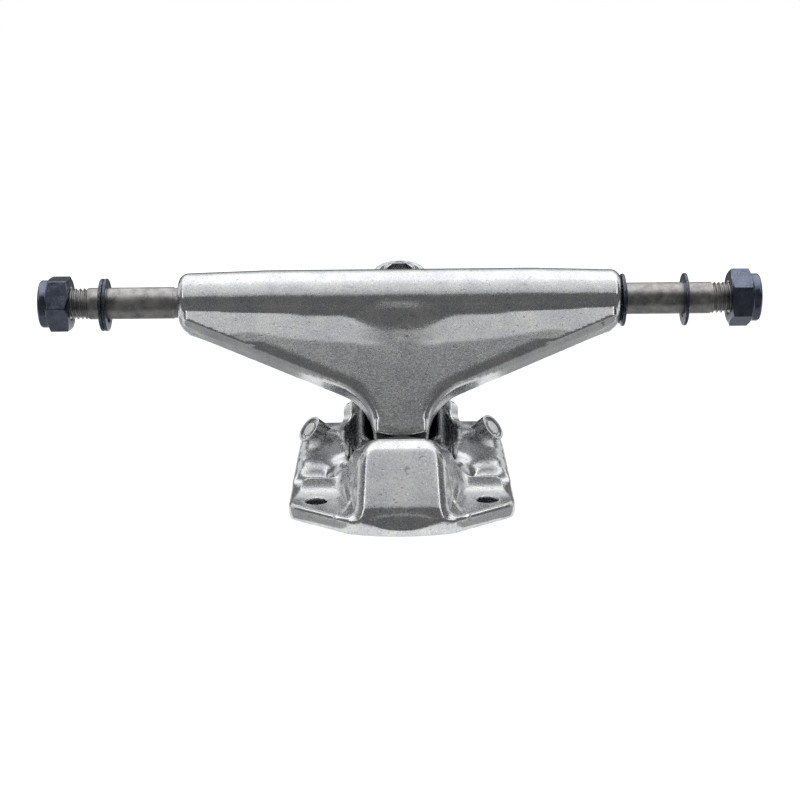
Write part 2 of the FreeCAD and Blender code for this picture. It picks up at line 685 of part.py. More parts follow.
def hanger():
    arm = neck().fuse(ring())
    for hollow in ring_hollows():
        arm = arm.cut(hollow)
    body = axle_bar().fuse([web(), pivot_stem(), arm])
    return body.cut(axle_shape(AXLE_BORE_PLAY)).removeSplitter()


def axle_shape(extra):
    """The stepped axle, grown by extra: a fat core in the hanger, then relief, bearing seat and thread."""
    core_x = HALF_HANGER - AXLE_CORE_INSET
    core, seat, thread = (diameter / 2 + extra for diameter in (AXLE_CORE_D, AXLE_D, THREAD_D))
    relief = seat - AXLE_RELIEF_DEPTH
    half = [
        (core, core_x),
        (relief, core_x),
        (relief, SEAT_INNER_X),
        (seat, SEAT_INNER_X),
        (seat, SEAT_OUTER_X),
        (relief, SEAT_OUTER_X),
        (relief, THREAD_X),
        (thread, THREAD_X),
        (thread, AXLE_HALF - THREAD_CHAMFER),
        (thread - THREAD_CHAMFER, AXLE_HALF),
    ]
    outline = [(0, -AXLE_HALF)] + [(r, -x) for r, x in reversed(half)] + half + [(0, AXLE_HALF)]
    return standing(turned(outline), AXLE_MID, X_OUT, Z_UP)


def axle_nut(side):
    """An axle nut on the side of X that the sign gives, its collar outwards."""
    bore_d = THREAD_D + NUT_BORE_PLAY * 2
    nut = lock_nut(NUT_AF, NUT_HEX_T, NUT_COLLAR_T, NUT_COLLAR_D, NUT_CHAMFER, bore_d)
    return standing(nut, vec(side * NUT_INNER_X, 0, AXLE_Z), X_OUT * side, nut_facing(side))


def axle_nut_insert(side):
    locking = lock_ring(NUT_HEX_T + NUT_COLLAR_T, THREAD_D)
    return standing(locking, vec(side * NUT_INNER_X, 0, AXLE_Z), X_OUT * side, nut_facing(side))


def nut_facing(side):
    """The direction of a nut's corner: forwards on the left nut, up on the right one."""
    return vec(0, -1, 0) if side < 0 else Z_UP


def speed_washer(inner_x, side):
    """A loose washer hanging on the axle, its inner face at this distance from the middle."""
    hang = SPEED_BORE_PLAY - SPEED_TOP_PLAY
    hole = Part.makeCylinder(AXLE_D / 2 + SPEED_BORE_PLAY, SPEED_T)
    disc = Part.makeCylinder(SPEED_D / 2, SPEED_T).cut(hole)
    return standing(disc, vec(side * inner_x, 0, AXLE_Z - hang), X_OUT * side, Z_UP)


NODES = {
    "baseplate": baseplate,
    "pivot_cup": pivot_cup,
    "kingpin": kingpin,
    "kingpin_nut": kingpin_nut,
    "kingpin_nut_insert": kingpin_nut_insert,
    "board_side_washer": board_side_washer,
    "board_side_bushing": board_side_bushing,
    "road_side_bushing": road_side_bushing,
    "road_side_washer": road_side_washer,
    "hanger": hanger,
    "axle": lambda: axle_shape(0),
    "axle_nut_left": lambda: axle_nut(-1),
    "axle_nut_right": lambda: axle_nut(1),
    "axle_nut_insert_left": lambda: axle_nut_insert(-1),
    "axle_nut_insert_right": lambda: axle_nut_insert(1),
    "speed_washer_left_inner": lambda: speed_washer(LEFT_PAIR_X, -1),
    "speed_washer_left_outer": lambda: speed_washer(LEFT_PAIR_X + SPEED_T + WASHER_GAP, -1),
    "speed_washer_right_inner": lambda: speed_washer(HALF_HANGER + WASHER_GAP, 1),
    "speed_washer_right_outer": lambda: speed_washer(RIGHT_LOOSE_X, 1),
}


def main():
    os.makedirs(PARTS, exist_ok=True)
    for name, make in NODES.items():
        shape = make()
        shape.exportStep(os.path.join(PARTS, name + ".step"))
        print(name, "solids", len(shape.Solids), "valid", shape.isValid(), "volume", round(shape.Volume))


main()
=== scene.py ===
"""The skateboard truck's looks: worn castings, threaded hardware and urethane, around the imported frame."""

import json
import math

import bpy
import numpy as np
import openvdb
from mathutils import Matrix, Vector


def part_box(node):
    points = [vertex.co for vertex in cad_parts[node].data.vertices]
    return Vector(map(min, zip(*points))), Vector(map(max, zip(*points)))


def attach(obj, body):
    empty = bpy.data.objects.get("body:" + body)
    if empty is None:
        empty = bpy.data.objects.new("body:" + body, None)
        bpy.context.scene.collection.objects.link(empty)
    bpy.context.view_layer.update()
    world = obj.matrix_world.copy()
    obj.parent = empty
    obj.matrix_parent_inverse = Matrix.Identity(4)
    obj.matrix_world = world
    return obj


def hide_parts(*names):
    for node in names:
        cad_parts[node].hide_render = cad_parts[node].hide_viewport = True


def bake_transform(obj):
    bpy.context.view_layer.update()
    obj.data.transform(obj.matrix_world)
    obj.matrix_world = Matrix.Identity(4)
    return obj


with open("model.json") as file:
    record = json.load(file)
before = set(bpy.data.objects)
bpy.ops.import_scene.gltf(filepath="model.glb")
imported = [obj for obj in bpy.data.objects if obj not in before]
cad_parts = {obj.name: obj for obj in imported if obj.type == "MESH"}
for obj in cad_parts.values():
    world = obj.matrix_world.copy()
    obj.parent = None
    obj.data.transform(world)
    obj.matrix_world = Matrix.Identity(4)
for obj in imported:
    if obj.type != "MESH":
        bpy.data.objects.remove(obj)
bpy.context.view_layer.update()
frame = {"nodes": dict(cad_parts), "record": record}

# Working lines of the part, in millimetres, as in its source
MM_PER_M = 1000.0
PIVOT = np.array([0.0, -21.0, 13.0])
AXLE = np.array([0.0, 0.0, 47.8])
STEM_LENGTH = float(np.linalg.norm(AXLE - PIVOT))
STEM_UP = (AXLE - PIVOT) / STEM_LENGTH
TILT = math.radians(15.0)
KING_UP = np.array([0.0, -math.sin(TILT), math.cos(TILT)])
KING_END = np.array([0.0, 17.27, 53.37])
X_OUT = np.array([1.0, 0.0, 0.0])


def king(depth):
    """A point on the kingpin, this far below its threaded end."""
    return KING_END - KING_UP * depth


# Meshes

ARC_POINTS = 7
CORNER_SHARE = 0.45
SHARP_R = 1e-4
STRAIGHT_ANGLE = 0.01


def make_mesh(name, points, faces, material):
    """A mesh object from points in millimetres."""
    mesh = bpy.data.meshes.new(name)
    mesh.from_pydata((np.asarray(points) / MM_PER_M).tolist(), [], [list(f) for f in faces])
    mesh.validate()
    mesh.shade_smooth()
    obj = bpy.data.objects.new(name, mesh)
    bpy.context.scene.collection.objects.link(obj)
    mesh.materials.append(material)
    return obj


def corner_arc(before, here, after, radius):
    """The arc that rounds a corner, or the corner itself where it is sharp or straight."""
    a, b = before - here, after - here
    la, lb = np.linalg.norm(a), np.linalg.norm(b)
    a, b = a / la, b / lb
    half = math.acos(max(-1.0, min(1.0, float(a @ b)))) / 2
    if radius < SHARP_R or half > math.pi / 2 - STRAIGHT_ANGLE:
        return [here]
    reach = min(radius / math.tan(half), la * CORNER_SHARE, lb * CORNER_SHARE)
    r = reach * math.tan(half)
    centre = here + (a + b) / np.linalg.norm(a + b) * (r / math.sin(half))
    first, last = here + a * reach - centre, here + b * reach - centre
    arc = []
    for t in np.linspace(0, 1, ARC_POINTS):
        v = first * (1 - t) + last * t
        arc.append(centre + v / np.linalg.norm(v) * r)
    return arc


def rounded(corners, radii, step, closed=True):
    """A path through (along, radius) corners, each rounded, with no run longer than step."""
    corners = [np.array(c, float) for c in corners]
    count = len(corners)
    if not isinstance(radii, (list, tuple)):
        radii = [radii] * count
    path = []
    for k, here in enumerate(corners):
        if not closed and k in (0, count - 1):
            path.append(here)
        else:
            path += corner_arc(corners[k - 1], here, corners[(k + 1) % count], radii[k])
    dense = []
    for k in range(len(path) if closed else len(path) - 1):
        p, q = path[k], path[(k + 1) % len(path)]
        runs = max(1, int(np.linalg.norm(q - p) / step))
        dense += [p + (q - p) * (i / runs) for i in range(runs)]
    if not closed:
        dense.append(path[-1])
    return np.array(dense)


def lathe(name, path, origin, axis, material, steps=192, reshape=None, facing=X_OUT, closed=True):
    """A ring of material: a path of (along, radius) turned about a line.

    reshape moves its points by their angle, and facing is where the angle starts.
    """
    axis = np.asarray(axis, float)
    side = np.asarray(facing, float)
    side = side - axis * (side @ axis)
    if np.linalg.norm(side) < 0.1:
        side = np.array([0.0, 0.0, 1.0]) - axis * axis[2]
    side /= np.linalg.norm(side)
    across = np.cross(axis, side)
    theta = np.arange(steps) * (2 * math.pi / steps)
    along = np.repeat(path[:, 0][:, None], steps, 1)
    radius = np.repeat(path[:, 1][:, None], steps, 1)
    turn = np.repeat(theta[None, :], len(path), 0)
    if reshape:
        along, radius = reshape(along, radius, turn)
    points = (
        np.asarray(origin, float)
        + along[..., None] * axis
        + (radius * np.cos(turn))[..., None] * side
        + (radius * np.sin(turn))[..., None] * across
    ).reshape(-1, 3)
    rows = len(path) if closed else len(path) - 1
    i, j = np.meshgrid(np.arange(rows), np.arange(steps), indexing="ij")
    i2, j2 = (i + 1) % len(path), (j + 1) % steps
    faces = np.stack([i * steps + j, i2 * steps + j, i2 * steps + j2, i * steps + j2], -1)
    faces = faces.reshape(-1, 4).tolist()
    if not closed:
        faces.append(list(range(steps)))
        faces.append(list(range((len(path) - 1) * steps, len(path) * steps))[::-1])
    return make_mesh(name, points, faces, material)


def hex_radius(turn, across_flats):
    """The radius of a hexagon at an angle; its corners are at whole sixths of a turn."""
    wrapped = np.mod(turn, math.pi / 3) - math.pi / 6
    return across_flats / 2 / np.cos(wrapped)


# Distance fields

BAND = 1.5
SPARE_CELLS = 2.5
MARGIN_CELLS = 4
FAR = 99.0


def soft_min(a, b, k):
    """The smaller of two values, blended where they differ by less than k."""
    h = np.clip(0.5 + 0.5 * (b - a) / k, 0, 1)
    return b * (1 - h) + a * h - k * h * (1 - h)


def soft_max(a, b, k):
    return -soft_min(-a, -b, k)


def smooth(value, low, high):
    """A soft step from 0 at low to 1 at high."""
    t = np.clip((value - low) / (high - low), 0, 1)
    return t * t * (3 - 2 * t)


def plane(across, up, point, normal):
    """The distance past a plane seen edge-on, from a point of it and its normal."""
    return normal[0] * (across - point[0]) + normal[1] * (up - point[1])


def level_set(points, faces, voxel, band):
    shape = {"quads" if faces.shape[1] == 4 else "triangles": faces.astype(np.uint32)}
    return openvdb.FloatGrid.createLevelSetFromPolygons(
        points.astype(np.float32),
        transform=openvdb.createLinearTransform(voxelSize=voxel),
        halfWidth=band / voxel + SPARE_CELLS,
        **shape,
    )


def skin(points, faces, voxel, band, level):
    """The surface at a distance from a closed mesh."""
    return level_set(points, faces, voxel, band).convertToQuads(level)


def node_mesh(node):
    """A CAD node's points in millimetres, and its triangles."""
    mesh = frame["nodes"][node].data
    mesh.calc_loop_triangles()
    points = np.empty(len(mesh.vertices) * 3)
    mesh.vertices.foreach_get("co", points)
    faces = np.empty(len(mesh.loop_triangles) * 3, np.int64)
    mesh.loop_triangles.foreach_get("vertices", faces)
    return points.reshape(-1, 3) * MM_PER_M, faces.reshape(-1, 3)


def cast(name, node, rounds, voxel, edit, material):
    """A node's shape with cast corners: hollows filled to a radius and edges rounded, then its field edited.

    rounds holds (hollow radius, edge radius) pairs, and edit makes one field of theirs.
    """
    points, faces = node_mesh(node)
    low = np.floor(points.min(0) / voxel).astype(int) - MARGIN_CELLS
    high = np.ceil(points.max(0) / voxel).astype(int) + MARGIN_CELLS
    corner = tuple(int(v) for v in low)
    fields = []
    for hollow_r, edge_r in rounds:
        p, f = skin(points, faces, voxel, hollow_r, hollow_r)
        p, f = skin(p, f, voxel, hollow_r + edge_r, -hollow_r - edge_r)
        p, f = skin(p, f, voxel, edge_r + BAND, edge_r)
        field = np.empty(tuple(high - low + 1), np.float32)
        level_set(p, f, voxel, BAND).copyToArray(field, ijk=corner)
        fields.append(field)
    axes = [np.arange(low[k], high[k] + 1, dtype=np.float32) * voxel for k in range(3)]
    x, y, z = np.meshgrid(*axes, indexing="ij", sparse=True)
    field = np.clip(edit(fields, x, y, z), -BAND, BAND)
    out = openvdb.FloatGrid(BAND)
    out.copyFromArray(field.astype(np.float32), ijk=corner)
    out.transform = openvdb.createLinearTransform(voxelSize=voxel)
    out.gridClass = openvdb.GridClass.LEVEL_SET
    points, faces = out.convertToQuads(0.0)
    return make_mesh(name, points, faces[:, ::-1].tolist(), material)


def bore(origin, axis, radius, start, stop):
    """A round hole about a line, between two distances along it."""
    origin, axis = np.asarray(origin, float), np.asarray(axis, float)

    def distance(x, y, z):
        px, py, pz = x - origin[0], y - origin[1], z - origin[2]
        along = px * axis[0] + py * axis[1] + pz * axis[2]
        out = np.sqrt(np.maximum(px * px + py * py + pz * pz - along * along, 0)) - radius
        return np.maximum(out, np.maximum(start - along, along - stop))

    return distance


def drilled(field, holes, x, y, z):
    for hole in holes:
        field = np.maximum(field, -hole(x, y, z))
    return field


# Materials

class Look:
    """A material's node tree, built a node at a time. Noise scales are in features per metre."""

    def __init__(self, name):
        self.material = bpy.data.materials.new(name)
        self.material.use_nodes = True
        self.tree = self.material.node_tree
        self.tree.nodes.clear()
        self.out = self.tree.nodes.new("ShaderNodeOutputMaterial")
        self.shader = self.tree.nodes.new("ShaderNodeBsdfPrincipled")
        self.tree.links.new(self.shader.outputs[0], self.out.inputs[0])
        self.place = self.tree.nodes.new("ShaderNodeTexCoord").outputs["Object"]

    def node(self, kind, inputs=(), **facts):
        made = self.tree.nodes.new(kind)
        for key, value in facts.items():
            setattr(made, key, value)
        for key, value in dict(inputs).items():
            self.set(made.inputs[key], value)
        return made

    def set(self, socket, value):
        if isinstance(value, bpy.types.NodeSocket):
            self.tree.links.new(value, socket)
        else:
            socket.default_value = value

    def noise(self, scale, detail=2.0, rough=0.5, place=None):
        made = self.node("ShaderNodeTexNoise", {
            "Vector": place or self.place, "Scale": scale, "Detail": detail, "Roughness": rough})
        return made.outputs["Fac"]

    def ramp(self, value, low, high, to_low=0.0, to_high=1.0):
        made = self.node("ShaderNodeMapRange", {0: value, 1: low, 2: high, 3: to_low, 4: to_high})
        return made.outputs[0]

    def math(self, kind, a, b):
        return self.node("ShaderNodeMath", {0: a, 1: b}, operation=kind).outputs[0]

    def mix(self, amount, a, b):
        made = self.node("ShaderNodeMix", {0: amount, 6: a, 7: b}, data_type="RGBA")
        return made.outputs[2]

    def spots(self, base, mask, strength, colour):
        return self.mix(self.math("MULTIPLY", mask, strength), base, colour)

    def bump(self, height, strength, distance):
        inputs = {"Strength": strength, "Distance": distance, "Height": height}
        return self.node("ShaderNodeBump", inputs).outputs[0]

    def stretched(self, sizes, turn=(0, 0, 0)):
        """The place drawn out to a size in metres along each turned axis."""
        inputs = {0: self.place, 2: turn, 3: sizes}
        return self.node("ShaderNodeMapping", inputs, vector_type="TEXTURE").outputs[0]

    def scratches(self, length, width, turn, low, high):
        """Thin broken lines in one direction: noise drawn out along it."""
        lines = self.noise(1.0, 1.0, 0.4, self.stretched((length, width, width), turn))
        return self.ramp(lines, low, high)

    def finish(self, **sockets):
        for key, value in sockets.items():
            self.set(self.shader.inputs[key.replace("_", " ")], value)
        return self.material

    def instead(self, shader):
        """The material with another shader in place of its own."""
        self.tree.nodes.remove(self.shader)
        self.tree.links.new(shader.outputs[0], self.out.inputs[0])
        return self.material


def rgb(r, g, b):
    return (r, g, b, 1.0)


# Length, width, turn and thresholds of each direction of scratches
SCRATCHES = (
    (0.0030, 0.00013, (0.2, 0.85, 0.0), 0.72, 0.76),
    (0.0024, 0.00012, (0.0, -0.70, 0.3), 0.72, 0.76),
    (0.0040, 0.00014, (0.3, 1.45, 0.1), 0.73, 0.76),
)


def cast_alloy():
    """Tumbled aluminium: a cloudy base with dark and light specks, pits, dings and thin scratches."""
    look = Look("cast_alloy")
    cloud = look.noise(160.0, 4.0, 0.6)
    grain = look.noise(1700.0, 3.0, 0.65)
    speck = look.ramp(look.noise(2500.0, 2.0, 0.6), 0.54, 0.66)
    glint = look.ramp(look.noise(2100.0, 2.0, 0.6), 0.60, 0.70)
    pits = look.ramp(look.noise(1100.0, 2.0, 0.5), 0.64, 0.74)
    dings = look.ramp(look.noise(330.0, 2.0, 0.5), 0.72, 0.77)
    first, *others = SCRATCHES
    lines = look.scratches(*first)
    for other in others:
        lines = look.math("MAXIMUM", lines, look.scratches(*other))
    base = look.mix(look.ramp(cloud, 0.35, 0.65), rgb(0.50, 0.505, 0.54), rgb(0.62, 0.63, 0.615))
    base = look.spots(base, speck, 0.50, rgb(0.30, 0.29, 0.33))
    base = look.spots(base, glint, 0.55, rgb(0.90, 0.93, 0.90))
    base = look.spots(base, pits, 0.5, rgb(0.20, 0.19, 0.21))
    base = look.spots(base, dings, 0.6, rgb(0.16, 0.15, 0.16))
    base = look.spots(base, lines, 0.6, rgb(0.95, 0.97, 0.94))
    rough = look.ramp(grain, 0.3, 0.7, 0.17, 0.30)
    relief = look.math("SUBTRACT", look.math("MULTIPLY", grain, 0.5), look.math("MULTIPLY", pits, 0.8))
    relief = look.math("SUBTRACT", relief, look.math("MULTIPLY", lines, 0.3))
    normal = look.bump(relief, 0.16, 0.00010)
    return look.finish(Base_Color=base, Metallic=1.0, Roughness=rough, Normal=normal)


def turned_steel(name, dark, light, stain, rough_low, rough_high):
    """Machined steel along the axle: fine rings, stains and small bright wear."""
    look = Look(name)
    rings = look.noise(1.0, 2.0, 0.5, look.stretched((0.00011, 0.011, 0.011)))
    cloud = look.noise(420.0, 4.0, 0.65)
    speck = look.ramp(look.noise(2400.0, 2.0, 0.6), 0.58, 0.70)
    base = look.mix(look.ramp(cloud, 0.35, 0.65), dark, light)
    base = look.spots(base, speck, 0.6, stain)
    rough = look.ramp(cloud, 0.3, 0.7, rough_low, rough_high)
    normal = look.bump(look.math("ADD", look.math("MULTIPLY", rings, 0.6), cloud), 0.25, 0.00006)
    return look.finish(Base_Color=base, Metallic=1.0, Roughness=rough, Normal=normal)


def moulded(name, colour, deep):
    """Urethane or nylon, with a faint moulded grain."""
    look = Look(name)
    cloud = look.noise(260.0, 3.0, 0.6)
    grain = look.noise(3000.0, 2.0, 0.5)
    base = look.mix(look.ramp(cloud, 0.35, 0.65), deep, colour)
    rough = look.ramp(cloud, 0.3, 0.7, 0.42, 0.58)
    return look.finish(Base_Color=base, Roughness=rough, Normal=look.bump(grain, 0.2, 0.00005))


alloy = cast_alloy()
axle_steel = turned_steel(
    "axle_steel", rgb(0.20, 0.195, 0.195), rgb(0.38, 0.375, 0.37), rgb(0.52, 0.50, 0.46), 0.26, 0.40)
zinc_steel = turned_steel(
    "zinc_steel", rgb(0.42, 0.43, 0.45), rgb(0.58, 0.59, 0.60), rgb(0.20, 0.20, 0.21), 0.22, 0.36)
black_zinc = turned_steel(
    "black_zinc", rgb(0.085, 0.10, 0.145), rgb(0.14, 0.16, 0.21), rgb(0.25, 0.28, 0.34), 0.16, 0.28)
washer_steel = turned_steel(
    "washer_steel", rgb(0.20, 0.20, 0.21), rgb(0.38, 0.38, 0.39), rgb(0.10, 0.09, 0.09), 0.28, 0.42)
speed_steel = turned_steel(
    "speed_washer_steel", rgb(0.05, 0.06, 0.085), rgb(0.11, 0.12, 0.15), rgb(0.40, 0.40, 0.42), 0.22, 0.36)
bushing_urethane = moulded("urethane", rgb(0.045, 0.045, 0.048), rgb(0.025, 0.025, 0.027))
cup_urethane = moulded("cup_urethane", rgb(0.030, 0.030, 0.032), rgb(0.018, 0.018, 0.020))
nylon = moulded("nylon", rgb(0.10, 0.14, 0.26), rgb(0.06, 0.09, 0.18))


# Turned and threaded pieces

NODE_BODY = {node: body for body, nodes in frame["record"]["behaviour"]["bodies"].items() for node in nodes}


def dress(piece, node):
    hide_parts(node)
    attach(piece, NODE_BODY[node])


def ring(name, node, origin, axis, corners, radius, material, steps=128):
    dress(lathe(name, rounded(corners, radius, 0.25), origin, axis, material, steps), node)


def node_span(node):
    """A node's middle, half its thickness along the axle and its half height, in millimetres."""
    low, high = (np.array(corner) * MM_PER_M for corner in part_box(node))
    return (low + high) / 2, (high[0] - low[0]) / 2, (high[2] - low[2]) / 2


def thread_wave(along, turn, pitch):
    """The depth of a helical thread, 0 at its crest and 1 at its root."""
    phase = np.mod(along / pitch - turn / (2 * math.pi), 1.0)
    return np.clip(np.abs(phase - 0.5) * 2.7 - 0.2, 0, 1)


# The axle. Its hidden middle is drawn coarsely, and each (end, step) run after it more finely
HALF_AXLE = 89.4
AXLE_RUNS = ((54.0, 3.0), (57.0, 0.15), (76.0, 0.5), (HALF_AXLE, 0.06))
AXLE_CORE_HALF, AXLE_CORE_R = 54.0, 4.5
AXLE_GROOVE, AXLE_GROOVE_T = (55.4, 56.5), 0.18
AXLE_END_T, AXLE_END_SLOPE = 0.8, 0.9
SHANK_R, CREST_R, ROOT_R = 3.97, 3.86, 3.30
PITCH, THREAD_X, THREAD_END_T = 1.0583, 77.5, 0.5


def axle_radius(x):
    if x < AXLE_CORE_HALF:
        return AXLE_CORE_R
    if AXLE_GROOVE[0] < x < AXLE_GROOVE[1]:
        return SHANK_R - AXLE_GROOVE_T
    return SHANK_R - max(0.0, x - HALF_AXLE + AXLE_END_T) * AXLE_END_SLOPE


def make_axle():
    xs = [0.0]
    for stop, step in AXLE_RUNS:
        xs += list(np.arange(xs[-1] + step, stop - 1e-6, step)) + [stop]
    half = np.array([(x, axle_radius(x)) for x in xs])
    path = np.vstack([half[::-1][:-1] * (-1.0, 1.0), half])

    def cut(along, radius, turn):
        out = np.abs(along)
        fade = np.clip((out - THREAD_X) / (PITCH * 0.8), 0, 1)
        depth = SHANK_R - CREST_R + (CREST_R - ROOT_R) * thread_wave(along, turn, PITCH)
        end = np.clip((HALF_AXLE - out) / THREAD_END_T, 0, 1)
        return along, radius - depth * fade * end

    dress(lathe("axle_bar", path, AXLE, X_OUT, axle_steel, 96, cut, closed=False), "axle")


# Lock nuts
NUT_STEPS = 240
NUT_INNER_X = 82.2
AXLE_NUT = (12.7, 5.1, 2.5, 11.9)
AXLE_NUT_BORE_R = 3.93
BEARING_SHARE = 0.97
NUT_CORNER_CUT, NUT_CORNER_OVER = 0.62, 0.05
COLLAR_BLEND = (-0.25, 0.35)
COLLAR_LIP_T, COLLAR_SINK = 1.5, 0.35
NUT_ROUNDS = [0.05, 0.12, 0.10, 0.10, 0.30, 1.05, 0.12, 0.05, 0.10, 0.05]


def lock_nut(name, node, origin, axis, facing, size, material, bore_r):
    """A hexagon nut with a rounded collar; size is flats, hexagon length, collar length and diameter."""
    flats, hex_t, collar_t, collar_d = size
    corner = flats / math.sqrt(3) + NUT_CORNER_OVER
    total = hex_t + collar_t
    path = rounded(
        [(0, bore_r + COLLAR_SINK), (0, flats / 2 * BEARING_SHARE), (NUT_CORNER_CUT, corner),
         (hex_t + COLLAR_BLEND[0], corner), (hex_t + COLLAR_BLEND[1], collar_d / 2), (total, collar_d / 2),
         (total, collar_d / 2 - COLLAR_LIP_T), (total - COLLAR_SINK, collar_d / 2 - COLLAR_LIP_T - 0.05),
         (total - COLLAR_SINK, bore_r), (COLLAR_SINK, bore_r)],
        NUT_ROUNDS, 0.12)

    def cut(along, radius, turn):
        flat = hex_radius(turn + math.pi / 6, flats)
        body = (along < hex_t + 0.30) & (radius > flats / 2 * 0.9)
        return along, np.where(body, soft_min(radius, flat, 0.10), radius)

    dress(lathe(name, path, origin, axis, material, NUT_STEPS, cut, facing), node)


# Speed washers, and the nylon rings of the axle nuts
WASHER_BORE_R, WASHER_R = 4.36, 6.6
WASHER_ROUNDS = [0.12, 0.34, 0.34, 0.12]


def make_axle_hardware():
    for side, word, facing in ((-1, "left", (0, 0, 1)), (1, "right", (0, 1, 0))):
        lock_nut(f"nut_{word}", f"axle_nut_{word}", AXLE + X_OUT * side * NUT_INNER_X,
                 X_OUT * side, facing, AXLE_NUT, black_zinc, AXLE_NUT_BORE_R)
    for word in ("left_inner", "left_outer", "right_inner", "right_outer"):
        middle, half_t, _ = node_span(f"speed_washer_{word}")
        outline = [(-half_t, WASHER_BORE_R), (-half_t, WASHER_R), (half_t, WASHER_R), (half_t, WASHER_BORE_R)]
        ring(f"washer_{word}", f"speed_washer_{word}", middle, X_OUT, outline,
             WASHER_ROUNDS, speed_steel)
    for word in ("left", "right"):
        middle, half_t, outer = node_span(f"axle_nut_insert_{word}")
        outline = [(-half_t, AXLE_NUT_BORE_R), (-half_t, outer), (half_t, outer), (half_t, AXLE_NUT_BORE_R)]
        ring(f"insert_{word}", f"axle_nut_insert_{word}", middle, X_OUT, outline, 0.2, nylon)


# The kingpin, drawn downwards from its threaded end
KING_R = 9.525 / 2
HOLE_R = KING_R + 0.19
HEAD_LOW, HEAD_T, HEAD_R, HEAD_FLATS = 52.62, 5.5, 8.25, 14.29
SOCKET_FLATS, SOCKET_T = 6.0, 4.9
SOCKET_R = SOCKET_FLATS / math.sqrt(3)
KING_THREAD_T, KING_THREAD_DEPTH, KING_PITCH = 17.9, 0.5, 1.06
KING_ROUNDS = [0, 0.05, 0.15, 0.1, 0.25, 0.15, 0.05, 0.3, 0.3, 0]


def make_kingpin():
    head_top = HEAD_LOW - HEAD_T
    path = rounded(
        [(SOCKET_T, 0.0), (SOCKET_T, SOCKET_R), (0.35, SOCKET_R), (0, SOCKET_R + 0.35), (0, KING_R - 0.8),
         (0.9, KING_R), (head_top, KING_R), (head_top, HEAD_R), (HEAD_LOW, HEAD_R), (HEAD_LOW, 0.0)],
        KING_ROUNDS, 0.16, closed=False)

    def cut(along, radius, turn):
        socket = (along < SOCKET_T + 0.05) & (radius < SOCKET_R + 0.01)
        head = (along > head_top - 0.01) & (radius > 6.5)
        out = np.where(socket, radius * hex_radius(turn, SOCKET_FLATS) / SOCKET_R, radius)
        out = np.where(head, soft_min(radius, hex_radius(turn, HEAD_FLATS), 0.12), out)
        threaded = np.clip((along - 0.5) / 1.0, 0, 1) * np.clip((KING_THREAD_T - along) / 1.5, 0, 1)
        shank = (np.abs(radius - KING_R) < 0.02) & ~head
        depth = KING_THREAD_DEPTH * thread_wave(along, turn, KING_PITCH) * threaded
        return along, np.where(shank, out - depth, out)

    bolt = lathe("king_bolt", path, KING_END, -KING_UP, zinc_steel, 144, cut, closed=False)
    dress(bolt, "kingpin")


# What is stacked on the kingpin, by depth below its threaded end
NUT_DEPTH, SEAT_DEPTH, RING_DEPTH = 9.0, 42.0, 24.45
KING_NUT = (HEAD_FLATS, 5.6, 2.4, 13.4)
KING_INSERT, KING_INSERT_R = (5.82, 7.7), (KING_R + 0.01, KING_R + 1.48)
ROAD_WASHER_R, BOARD_WASHER_R = 10.3, 12.2
CUP_FLOOR_T, CUP_RIM_H = 1.5, 2.6


def cup_washer(name, node, origin, axis, edge):
    ring(name, node, origin, axis,
         [(0, HOLE_R), (0, edge - 1.0), (0.9, edge), (CUP_RIM_H, edge), (CUP_RIM_H, edge - 0.9),
          (CUP_FLOOR_T, edge - 1.25), (CUP_FLOOR_T, HOLE_R)],
         [0.15, 0.7, 0.5, 0.42, 0.42, 0.4, 0.15], washer_steel, 160)


def make_king_hardware():
    lock_nut("king_nut", "kingpin_nut", king(NUT_DEPTH), KING_UP, (0, 1, 0), KING_NUT,
             zinc_steel, KING_R + 0.02)
    (low, high), (inner, outer) = KING_INSERT, KING_INSERT_R
    ring("king_nut_insert", "kingpin_nut_insert", king(NUT_DEPTH), KING_UP,
         [(low, inner), (low, outer), (high, outer), (high, inner)], 0.25, nylon)
    cup_washer("road_washer", "road_side_washer", king(NUT_DEPTH), -KING_UP, ROAD_WASHER_R)
    cup_washer("board_washer", "board_side_washer", king(SEAT_DEPTH), KING_UP, BOARD_WASHER_R)


BUSHING_ROWS = 9
BUSHING_EDGE = 0.8


def bushing(name, node, depth, height, low_r, high_r, bulge):
    """A urethane bushing with a slight bulge, set between the hanger and the rest."""
    sides = []
    for k in range(BUSHING_ROWS):
        t = k / (BUSHING_ROWS - 1)
        radius = low_r + (high_r - low_r) * t + bulge * math.sin(math.pi * t) - 0.02
        sides.append((height * (0.06 + 0.88 * t), radius))
    corners = [(0, HOLE_R), (0, low_r - BUSHING_EDGE)] + sides
    corners += [(height, high_r - BUSHING_EDGE), (height, HOLE_R)]
    path = rounded(corners, [0.2, 0.5, 0.6] + [3.0] * (BUSHING_ROWS - 2) + [0.6, 0.5, 0.2], 0.35)
    made = lathe(name, path, king(depth), KING_UP, bushing_urethane, 128)
    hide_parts(node)
    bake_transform(made)


# The pivot cup's outline, along the stem from the pivot
CUP_OUTSIDE = [(-6.9, 0.0), (-6.9, 4.1), (-3.3, 6.92), (2.0, 6.93), (2.0, 8.0), (3.1, 8.0)]
CUP_INSIDE = [(3.1, 5.42), (-2.6, 5.42), (-5.4, 3.2), (-5.4, 0.0)]
CUP_ROUNDS = [0, 0.8, 1.5, 0.1, 0.3, 0.4, 0.4, 1.5, 1.2, 0]

